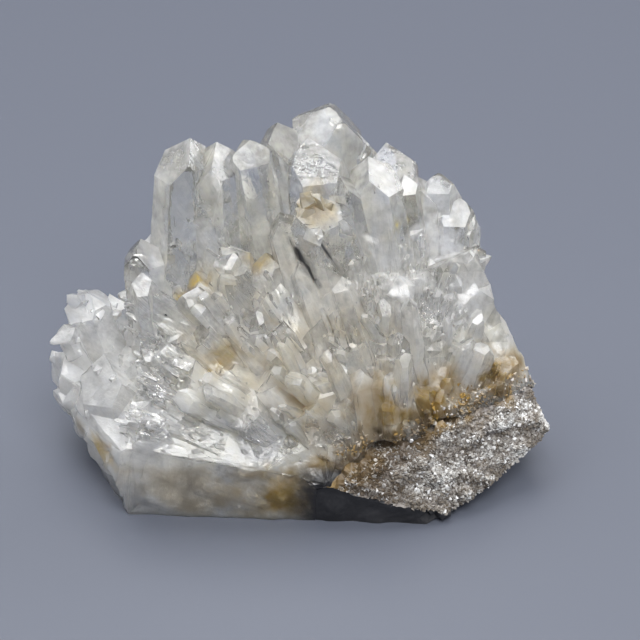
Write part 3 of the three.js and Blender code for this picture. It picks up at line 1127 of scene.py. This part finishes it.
def cling_rule(neighbour):
    """Grains stand on the quartz close to the rock, in patches that thin out away from it."""
    skin = skin_of(neighbour)

    def share(middle, normal):
        near, facing, face, distance = skin.find_nearest(middle)
        patch = CLING_MIDDLE + noise.noise(middle / RAGGED_WIDE) * CLING_PATCHINESS
        low_front = middle.z < BASE_TOP and middle.y < FRONT_PLACE
        return 0.0 if low_front else clamp((CLING_REACH - distance) / CLING_FADE) * clamp(patch)

    return share


border = emitter_of(quartz, BORDER_EDGE)
face_values(border, "share", cling_rule(rock))
clinging = scatter(
    border, "clinging_grains", grain_kit, seed=32,
    spacing=0.22, most=6e7, sizes=(0.15, 0.5),
    lifts=(-0.25, 0.05),
    normal=1.0, spray=0.0, stray=1.0,
)
bpy.data.objects.remove(border)
join(grains, (clinging,))
for vert in grains.data.vertices:
    vert.co.z = max(vert.co.z, 0)
print("rock grains:", len(grains.data.polygons), "triangles")

# %% [markdown]
# ## Mend the skins
# Cutting long thin faces again and again can leave two faces on the same points, back to back. They
# hold nothing between them, so they are taken out two by two, and each skin stays closed.

# %% Take doubled faces out
SLIVER = 0.0001 * MM


def mend(piece):
    """Takes out faces that lie on each other, two by two, with the points that only they use."""
    shape = opened(piece.data)
    bmesh.ops.dissolve_degenerate(shape, edges=shape.edges, dist=SLIVER)
    same = {}
    for face in shape.faces:
        same.setdefault(frozenset(face.verts), []).append(face)
    doubled = [face for faces in same.values() for face in faces[len(faces) % 2:]]
    bmesh.ops.delete(shape, geom=doubled, context="FACES")
    closed(shape, piece.data)
    return len(doubled)


print("doubled faces taken out:", mend(quartz), "and", mend(rock))

# %% [markdown]
# ## Marks in the solid
# Iron has stained the quartz orange and brown in spots and along the rock, and parts of it are
# clearer than others. Other marks paint shade into two slits and partly paint highlight into the
# whitest places. Each mark is a soft ball at the point that its place in the frame shows, with
# its edge broken up by noise. Every point of a mesh keeps its share of each kind of mark, for the
# finishes to read, so any number of marks costs nothing in the render.

# %% A share of soft balls for each point
BALL_EDGE = 1.3
BALL_CORE = 0.4
BALL_REACH = 2.0
RAGGED_FINE = 0.9 * MM
WIDE_SHARE = 0.9
FINE_SHARE = 0.5


def ragged_edge(place):
    wide = noise.noise(place / RAGGED_WIDE) * WIDE_SHARE
    return wide + noise.noise(place / RAGGED_FINE) * FINE_SHARE


def point_values(piece, name, table):
    """Each point's strongest mark of the table: rows of pixel, radius in mm and strength."""
    points = kdtree.KDTree(len(piece.data.vertices))
    for vert in piece.data.vertices:
        points.insert(vert.co, vert.index)
    points.balance()
    values = [0.0] * len(piece.data.vertices)
    missed = []
    for pixel, size, strength in table:
        centre, radius = seen_point(pixel), size * MM
        if centre is None:
            missed.append(pixel)
            continue
        for place, index, distance in points.find_range(centre, radius * BALL_REACH):
            away = distance / radius + ragged_edge(place)
            share = strength * clamp((BALL_EDGE - away) / (BALL_EDGE - BALL_CORE))
            values[index] = max(values[index], share)
    attribute = piece.data.attributes.new(name, "FLOAT", "POINT")
    attribute.data.foreach_set("value", values)
    marked = sum(value > 0 for value in values)
    print(piece.name, name, "points marked:", marked, "no surface:", missed)


# %% Stains of iron
ORANGE_MARKS = (
    ((197, 280), 1.6, 1.0),
    ((222, 355), 2.6, 0.7),
    ((258, 260), 1.8, 0.7),
    ((273, 320), 1.5, 0.6),
    ((180, 300), 1.0, 0.8),
    ((100, 450), 2.8, 0.8),
    ((80, 425), 1.8, 0.5),
    ((305, 400), 3.2, 0.45),
    ((402, 414), 1.8, 1.0),
    ((322, 468), 1.5, 0.9),
    ((235, 340), 5.0, 0.25),
    ((306, 208), 3.6, 0.55),
    ((325, 212), 2.6, 0.5),
    ((350, 330), 2.4, 0.3),
    ((300, 340), 9.0, 0.2),
    ((340, 300), 7.0, 0.14),
    ((230, 305), 6.0, 0.14),
    ((280, 385), 6.0, 0.2),
    ((335, 405), 6.0, 0.24),
    ((390, 330), 6.0, 0.14),
    ((262, 497), 3.6, 0.45),
    ((288, 495), 4.0, 0.8),
)
RUST_MARKS = (
    ((385, 412), 3.4, 0.9),
    ((402, 410), 2.6, 1.0),
    ((412, 395), 2.6, 0.7),
    ((430, 408), 3.4, 1.0),
    ((450, 385), 2.8, 0.8),
    ((468, 398), 3.0, 1.0),
    ((492, 380), 3.2, 0.95),
    ((512, 364), 2.6, 0.85),
    ((485, 352), 1.8, 0.7),
    ((325, 472), 2.8, 0.9),
    ((340, 455), 2.4, 0.6),
    ((360, 448), 2.6, 0.7),
    ((375, 430), 2.4, 0.6),
    ((308, 500), 3.6, 0.8),
    ((330, 482), 2.6, 0.9),
    ((352, 462), 3.0, 0.8),
    ((398, 432), 2.2, 0.9),
    ((424, 426), 2.6, 0.8),
    ((442, 418), 2.4, 0.8),
)
YELLOW_MARKS = (
    ((397, 225), 0.9, 0.85),
    ((408, 222), 0.6, 0.7),
    ((170, 260), 1.4, 0.35),
)
DARK_MARKS = (
    ((372, 470), 4.0, 0.9),
    ((395, 452), 3.6, 0.85),
    ((420, 434), 3.2, 0.85),
    ((448, 418), 2.8, 0.8),
    ((345, 478), 2.8, 0.75),
    ((395, 485), 2.8, 0.8),
    ((360, 488), 2.6, 0.8),
    ((475, 405), 2.2, 0.65),
    ((495, 392), 2.0, 0.55),
)

# %% White places, partly painted highlight, and clear places
# Whiter, milkier spots: partly milky quartz and partly painted highlight, where the front shines silver
# and at the brightest places.
WHITE_AND_HIGHLIGHT_MARKS = (
    ((402, 298), 4.5, 1.0),
    ((429, 244), 4.0, 1.0),
    ((384, 262), 3.5, 0.8),
    ((360, 283), 3.0, 0.8),
    ((447, 310), 5.5, 0.8),
    ((470, 280), 4.0, 0.6),
    ((440, 200), 3.5, 0.6),
    ((390, 215), 4.0, 0.5),
    ((420, 340), 4.0, 0.5),
    ((147, 352), 3.0, 0.5),
    ((210, 238), 2.5, 0.7),
    ((129, 310), 2.0, 0.6),
    ((363, 163), 2.0, 0.7),
    ((294, 190), 2.2, 0.7),
    ((159, 425), 3.5, 0.6),
    ((210, 425), 3.5, 0.5),
    ((258, 433), 3.5, 1.0),
    ((315, 136), 2.5, 0.5),
    ((327, 295), 3.0, 0.7),
    ((282, 289), 2.5, 0.6),
    ((335, 430), 3.0, 0.7),
    ((350, 370), 3.0, 0.5),
)
CLEAR_MARKS = (
    ((190, 190), 6.5, 0.9),
    ((215, 190), 5.0, 0.8),
    ((255, 190), 5.0, 0.9),
    ((283, 145), 4.0, 0.5),
    ((327, 130), 6.0, 0.3),
    ((318, 170), 4.5, 0.7),
    ((360, 160), 4.0, 0.6),
    ((140, 270), 4.5, 0.7),
    ((395, 160), 3.5, 0.6),
    ((435, 190), 3.5, 0.5),
)

# %% The two slits of painted shade
# Painted shade: the quartz along two narrow lines is coloured near black, the shade of two narrow gaps.
SLITS = (
    ((283, 230), (322, 290), 0.5),
    ((313, 234), (354, 288), 0.34),
)
SLIT_STEPS = 40
SLIT_END = 0.35


def slit_row(first, last, radius):
    """Marks close together along a line in the frame, thinner towards its ends."""
    row = []
    for step in range(SLIT_STEPS + 1):
        share = step / SLIT_STEPS
        pixel = [start + (end - start) * share for start, end in zip(first, last)]
        width = SLIT_END + (1 - SLIT_END) * math.sin(math.pi * share)
        row.append((pixel, radius * width, 1.0))
    return row


SLIT_MARKS = [mark for slit in SLITS for mark in slit_row(*slit)]

# %% Mark the points
point_values(quartz, "orange", ORANGE_MARKS)
point_values(quartz, "yellow", YELLOW_MARKS)
point_values(quartz, "clear", CLEAR_MARKS)
point_values(quartz, "white", WHITE_AND_HIGHLIGHT_MARKS)
point_values(quartz, "slit", SLIT_MARKS)
for piece in (quartz, rock, grains):
    point_values(piece, "rust", RUST_MARKS)
    point_values(piece, "dark", DARK_MARKS)

# %% [markdown]
# ## The quartz's finish
# Milky quartz is clear quartz full of tiny bubbles, so the finish mixes two shaders by one value: how
# milky a place is. The clear one is glass with quartz's index of refraction. The milky one lets light
# wander under its skin, and it alone carries the stains and the painted shade of the front and the
# slits. A volume adds the faint tint that clear quartz has where it is thick. The value comes from
# noise, from the facet's own number and from the marks, and never from where the camera stands.

# %% The quartz's colours and sizes
STREAK_ANGLE = 0.026
HAIR_ANGLE = 0.009
LUMP_SIZE = 5 * MM
WISP_SIZE = 1.6 * MM
FINE_SIZE = 0.7 * MM
WHITE_HAZE = colour(0.985, 0.985, 0.985)
CREAM_HAZE = colour(0.97, 0.95, 0.90)
# Painted shade: the band along the foot is greyer and darker than the milk above it.
BAND_SHADE_HAZE = colour(0.74, 0.69, 0.60)
STAINS = {
    "orange": colour(0.80, 0.66, 0.23),
    "rust": colour(0.65, 0.52, 0.22),
    "yellow": colour(0.90, 0.80, 0.28),
    "dark": colour(0.30, 0.24, 0.17),
}
# Painted shade: the near-black of the broken front where it lies in deep shade, on the quartz, on the
# rock and in the slits.
FRONT_SHADE_GREY = colour(0.12, 0.12, 0.13)
FRONT_SHADE_PALE = colour(0.17, 0.17, 0.18)
CLEAR_TINT = colour(0.98, 0.98, 0.97)
CLEAR_ROUGHNESS = 0.03
QUARTZ_IOR = 1.544
MILK_DEPTH = 3.0 * MM
MILK_SHARES = (1.0, 0.97, 0.92)
THICK_TINT = colour(0.97, 0.96, 0.92)
THICK_DENSITY = 6.0


# %% The patterns and marks that the finish reads
# Each pair is the place where a pattern starts and the place where it is full.
LOW_DOWN = (32 * MM, 6 * MM)
BAND_DEPTH = (-16.8 * MM, -18 * MM)
BAND_TOP = (9 * MM, 7 * MM)
SHADE_START = (-3.0 * MM, 2.4 * MM)
SHADE_LUMPS = 2.7 * MM
SHADE_GRIT = 1.8 * MM
NOISE_MIDDLE = 0.5
MARK_LEAST = 0.6
MARK_SPREAD = 0.8


def kept_value(tree, name):
    """A value that the mesh keeps for each point or face."""
    return add_node(tree, "ShaderNodeAttribute", {"attribute_name": name}).output("Fac")


def object_place(tree):
    return add_node(tree, "ShaderNodeTexCoord").output("Object")


def quartz_patterns(tree):
    place = object_place(tree)
    ray = vector_maths("NORMALIZE", vector_maths("SUBTRACT", place, SPRAY_CENTRE))
    at = SimpleNamespace(
        streaks=cloud_noise(ray, STREAK_ANGLE, detail=3.0, roughness=0.65),
        hairs=cloud_noise(ray, HAIR_ANGLE, detail=2.0, roughness=0.7),
        lumps=cloud_noise(place, LUMP_SIZE, detail=3.0, roughness=0.6),
        wisps=cloud_noise(place, WISP_SIZE, detail=4.0, roughness=0.7),
        fine=cloud_noise(place, FINE_SIZE, detail=2.0),
    )
    for name in ("facet", "silver", "clear", "slit"):
        setattr(at, name, kept_value(tree, name))
    uneven = at.fine * MARK_SPREAD + MARK_LEAST
    for name in ("white", *STAINS):
        setattr(at, name, kept_value(tree, name) * uneven)
    at.stained = at.orange.at_least(at.rust).at_least(at.yellow).at_least(at.dark).at_most(1.0)

    split = add_node(tree, "ShaderNodeSeparateXYZ", {}, {"Vector": place})
    at.across, depth, height = split.output("X"), split.output("Y"), split.output("Z")
    at.low_down = between(height, *LOW_DOWN)
    at.band = between(depth, *BAND_DEPTH) * between(height, *BAND_TOP)
    ragged = (at.lumps - NOISE_MIDDLE) * SHADE_LUMPS + (at.fine - NOISE_MIDDLE) * SHADE_GRIT
    # Painted shade: the band darkens towards the rock, with a ragged edge.
    at.shaded = at.band * between(at.across + ragged, *SHADE_START)
    return at


# %% How milky a place is
MILK_WEIGHTS = {"facet": 0.5, "lumps": 0.6, "wisps": 0.5, "streaks": 0.45, "low_down": 0.6}
MILK_PATCHES = (0.75, 1.6)
MILK_RANGE = (0.1, 0.86)
MOST_MILK = 0.9
CLEARED = 0.8
STAIN_MILK = 0.75
WHITE_AND_HIGHLIGHT_MILK = 0.85
SILVER_MILK = 0.5


def milkiness(at):
    """Clear at the tips, milky low down, at the stains, and where painted shade darkens the front and
    the slits.
    """
    patches = sum(getattr(at, name) * weight for name, weight in MILK_WEIGHTS.items())
    milky = between(patches, *MILK_PATCHES, *MILK_RANGE) * (1 - at.clear * CLEARED)
    milky = milky.at_least(at.stained * STAIN_MILK)
    milky = milky.at_least(at.white * WHITE_AND_HIGHLIGHT_MILK).at_most(MOST_MILK)
    return milky.at_least(at.silver * SILVER_MILK).at_least(at.shaded).at_least(at.slit)


# %% What colour the milk has
WARM_LUMPS = (0.3, 0.6)
WARM_START = (-24 * MM, -10 * MM)
LEAST_WARM = 0.35
BAND_LUMPS = (0.25, 0.7)


def haze_colour(at):
    """White or cream, greyer in the band along the foot and near black towards the rock as painted
    shade, and stained where iron got in.
    """
    warm = between(at.lumps, *WARM_LUMPS) * between(at.across, *WARM_START, LEAST_WARM)
    # The white marks, partly painted highlight, keep the milk white instead of cream.
    haze = mix_colour(warm * (1 - at.white), WHITE_HAZE, CREAM_HAZE)
    haze = mix_colour(at.band * between(at.lumps, *BAND_LUMPS), haze, BAND_SHADE_HAZE)
    for name, stain in STAINS.items():
        haze = mix_colour(getattr(at, name), haze, stain)
    # Painted shade over the band's right end and along the slits.
    return mix_colour(at.shaded.at_least(at.slit), haze, FRONT_SHADE_GREY)


# %% The two shaders and their mix
RELIEF_DEPTH = 0.5 * MM
RELIEF_STRENGTH = 0.5
FINE_RELIEF = 0.3
WISP_RELIEF = 0.5
HAIR_RELIEF = 0.15
SILVER_RELIEF = 2.0
CLEAR_STAINED = 0.8
SILVER_HAIRS = (0.5, 0.62)
SILVER_SHINE = (0.0, 0.7)
SILVER_POLISH = 0.15
STAIN_DULLING = 0.5


def principled(tree, values):
    return add_node(tree, "ShaderNodeBsdfPrincipled", {}, values)


def bump(height, strength, depth):
    values = {"Strength": strength, "Distance": depth, "Height": height}
    return add_node(height.tree, "ShaderNodeBump", {}, values)


def quartz_material():
    material = new_material("milky_quartz")
    tree = material.node_tree
    at = quartz_patterns(tree)
    iron = at.orange.at_least(at.rust) * CLEAR_STAINED
    hairy = at.silver * SILVER_RELIEF + HAIR_RELIEF
    relief = at.fine * FINE_RELIEF + at.wisps * WISP_RELIEF * at.low_down + at.hairs * hairy
    raised = bump(relief, RELIEF_STRENGTH, RELIEF_DEPTH)
    clear = principled(tree, {
        "Base Color": mix_colour(iron, CLEAR_TINT, STAINS["orange"]),
        "Transmission Weight": 1.0,
        "IOR": QUARTZ_IOR,
        "Roughness": CLEAR_ROUGHNESS,
        "Normal": raised,
    })
    cloudy = principled(tree, {
        "Base Color": haze_colour(at),
        "Subsurface Weight": 1.0,
        "Subsurface Radius": MILK_SHARES,
        "Subsurface Scale": MILK_DEPTH,
        "Transmission Weight": 0.6,
        "IOR": QUARTZ_IOR,
        "Metallic": at.silver * between(at.hairs, *SILVER_HAIRS, *SILVER_SHINE),
        "Roughness": 0.4 - at.silver * SILVER_POLISH,
        "Coat Weight": 0.6 - at.stained * STAIN_DULLING,
        "Coat Roughness": 0.08,
        "Coat IOR": QUARTZ_IOR,
        "Normal": raised,
    })
    surface = add_node(tree, "ShaderNodeMixShader", {}, {0: milkiness(at), 1: clear, 2: cloudy})
    thick = add_node(
        tree,
        "ShaderNodeVolumeAbsorption",
        {},
        {"Color": THICK_TINT, "Density": THICK_DENSITY},
    )
    add_node(tree, "ShaderNodeOutputMaterial", {}, {"Surface": surface, "Volume": thick})
    return material


quartz.data.materials.append(quartz_material())
print("quartz finish with", len(quartz.data.materials[0].node_tree.nodes), "nodes")

# %% [markdown]
# ## The rock's finishes
# A grain of the rock is nearly one colour, so each takes its shade from the tone that the tree gave
# it, and only the few palest are smooth enough to glint. Patches of noise make some areas darker and
# some whiter. The hull shows only between the grains and on the smooth front, whose near-black is
# painted shade.

# %% Colours of the rock
GRAIN_TONES = [
    (0.0, colour(0.20, 0.18, 0.16)),
    (0.15, colour(0.38, 0.35, 0.32)),
    (0.4, colour(0.57, 0.55, 0.52)),
    (0.75, colour(0.72, 0.71, 0.69)),
    (1.0, colour(0.96, 0.96, 0.96)),
]
GRAIN_SHADE = colour(0.40, 0.36, 0.31)
GRAIN_WHITE = colour(0.84, 0.84, 0.83)
HULL_DARK = colour(0.34, 0.31, 0.29)
HULL_PALE = colour(0.60, 0.58, 0.56)

# %% Finish of the grains
# Each row is the start and the end of a range, and then what it becomes at the one and the other.
GRAIN_PATCH = 3.5 * MM
GRAIN_GRIT = 0.5 * MM
GRAIN_RELIEF = 0.1 * MM
SHADED_PATCHES = (0.52, 0.42, 0.0, 0.75)
WHITE_PATCHES = (0.54, 0.64, 0.0, 0.6)
TONE_TAKES_IRON = (0.4, 0.95, 0.95, 0.35)
TONE_GLINTS = (0.85, 0.97, 0.7, 0.12)


def grain_material():
    material = new_material("rock_grain")
    tree = material.node_tree
    place = object_place(tree)
    tone = kept_value(tree, "tone")
    lumps = cloud_noise(place, GRAIN_PATCH)
    fine = cloud_noise(place, GRAIN_GRIT)
    shade = add_node(tree, "ShaderNodeValToRGB", {"stops": GRAIN_TONES}, {"Fac": tone})
    shade = mix_colour(between(lumps, *SHADED_PATCHES), shade, GRAIN_SHADE)
    shade = mix_colour(between(lumps, *WHITE_PATCHES), shade, GRAIN_WHITE)
    taken_up = between(tone, *TONE_TAKES_IRON)
    for name in ("rust", "dark"):
        shade = mix_colour(kept_value(tree, name) * taken_up, shade, STAINS[name])
    surface = principled(tree, {
        "Base Color": shade,
        "Roughness": between(tone, *TONE_GLINTS),
        "Subsurface Weight": 0.35,
        "Subsurface Radius": MILK_SHARES,
        "Subsurface Scale": 0.5 * MM,
        "Specular IOR Level": 0.4,
        "IOR": QUARTZ_IOR,
        "Normal": bump(fine, strength=0.3, depth=GRAIN_RELIEF),
    })
    add_node(tree, "ShaderNodeOutputMaterial", {}, {"Surface": surface})
    return material


# %% Finish of the hull
HULL_PATCH = 3 * MM
HULL_GRIT = 0.4 * MM
HULL_RELIEF = 0.15 * MM
HULL_DETAIL = 4.0
FRONT_GRIT = 0.6
FRONT_MOTTLE = (0.6, 1.0)
HULL_MOTTLE = (0.35, 0.65)
HULL_SATIN = (0.3, 0.7, 0.35, 0.55)
HULL_RUST = 0.85


def hull_material():
    material = new_material("rock_hull")
    tree = material.node_tree
    place = object_place(tree)
    lumps = cloud_noise(place, HULL_PATCH, HULL_DETAIL)
    fine = cloud_noise(place, HULL_GRIT, HULL_DETAIL)
    # Painted shade: the smooth front is coloured near black, mottled, as if in deep shade.
    front = mix_colour(between(lumps + fine * FRONT_GRIT, *FRONT_MOTTLE), FRONT_SHADE_GREY, FRONT_SHADE_PALE)
    shade = mix_colour(between(fine, *HULL_MOTTLE), HULL_DARK, HULL_PALE)
    shade = mix_colour(kept_value(tree, "rust") * HULL_RUST, shade, STAINS["rust"])
    shade = mix_colour(kept_value(tree, "dark"), shade, STAINS["dark"])
    shade = mix_colour(kept_value(tree, "front"), shade, front)
    surface = principled(tree, {
        "Base Color": shade,
        "Roughness": between(fine, *HULL_SATIN),
        "Normal": bump(fine, strength=0.25, depth=HULL_RELIEF),
    })
    add_node(tree, "ShaderNodeOutputMaterial", {}, {"Surface": surface})
    return material


rock.data.materials.append(hull_material())
grains.data.materials.clear()
grains.data.materials.append(grain_material())
print("finishes:", [material.name for material in bpy.data.materials])

# %% [markdown]
# ## Hand the pieces over
# Each dressed piece stands in for a solid of the frame. Nothing on a hand specimen moves, so all of
# them ride on its one body.

# %% Hand the pieces over
PIECES = (
    (quartz, "quartz_cluster", "quartz"),
    (rock, "host_rock", "rock"),
    (grains, "host_rock", "rock"),
)
for piece, node, slot in PIECES:
    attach(piece, "root")
    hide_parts(node)
    print(piece.name, "stands for", node)

# %% [markdown]
# ## Floor and light
# Clear crystal shows what is round it, so the floor and the lights are half of its look. The floor
# is plain and pale with a gentle satin. A small strong lamp would burn out every facet that mirrors
# it, so the light comes from large weak ones: the even sky, one above and behind for the facets that
# face up, one in front for the broken front, and a few weak ones for edges and glints.

# %% Floor
FLOOR_HALF = 1.5
FLOOR_COLOUR = colour(0.32, 0.335, 0.375)
FLOOR_ROUGHNESS = 0.45
FLOOR_GLOSS = 0.3


def make_floor():
    mesh = bpy.data.meshes.new("floor")
    corners = [(-1, -1), (1, -1), (1, 1), (-1, 1)]
    verts = [(x * FLOOR_HALF, y * FLOOR_HALF, 0) for x, y in corners]
    mesh.from_pydata(verts, [], [(0, 1, 2, 3)])
    floor = add_object("floor", mesh)
    material = new_material("floor")
    tree = material.node_tree
    surface = principled(tree, {
        "Base Color": FLOOR_COLOUR,
        "Roughness": FLOOR_ROUGHNESS,
        "Specular IOR Level": FLOOR_GLOSS,
    })
    add_node(tree, "ShaderNodeOutputMaterial", {}, {"Surface": surface})
    mesh.materials.append(material)


make_floor()
print("floor", 2 * FLOOR_HALF, "m wide")

# %% Lights
AIM = Vector((0, 0, 18)) * MM
WORLD_COLOUR = colour(0.60, 0.61, 0.64)
WORLD_STRENGTH = 0.67
LIGHTS = {
    "upper_left": {"place": (-0.25, 0.03, 0.44), "size": (0.3, 0.3), "power": 1.1},
    "right_back": {"place": (0.38, 0.23, 0.265), "size": (0.26, 0.24), "power": 1.4},
    "ceiling": {"place": (-0.05, 0.25, 0.55), "size": (0.5, 0.4), "power": 3.4},
    "left_back": {"place": (-0.36, 0.2, 0.25), "size": (0.3, 0.3), "power": 0.4},
    "glint": {"place": (-0.05, -0.12, 0.55), "size": (0.06, 0.06), "power": 0.4},
    "front_fill": {"place": (0.1, -0.3, 0.5), "size": (0.35, 0.35), "power": 3.7},
}


def area_light(name, place, size, power):
    lamp = bpy.data.lights.new(name, "AREA")
    lamp.shape = "RECTANGLE"
    lamp.size, lamp.size_y = size
    lamp.energy = power
    holder = add_object(name, lamp)
    holder.location = place
    holder.rotation_euler = (AIM - Vector(place)).to_track_quat("-Z", "Y").to_euler()


for name, light in LIGHTS.items():
    area_light(name, **light)
bpy.context.scene.view_settings.view_transform = "Standard"

world = bpy.data.worlds.new("studio")
world.use_nodes = True
bpy.context.scene.world = world
background = world.node_tree.nodes["Background"]
background.inputs["Color"].default_value = WORLD_COLOUR
background.inputs["Strength"].default_value = WORLD_STRENGTH
total_power = round(sum(light["power"] for light in LIGHTS.values()), 1)
print(len(LIGHTS), "lamps of", total_power, "W in all")
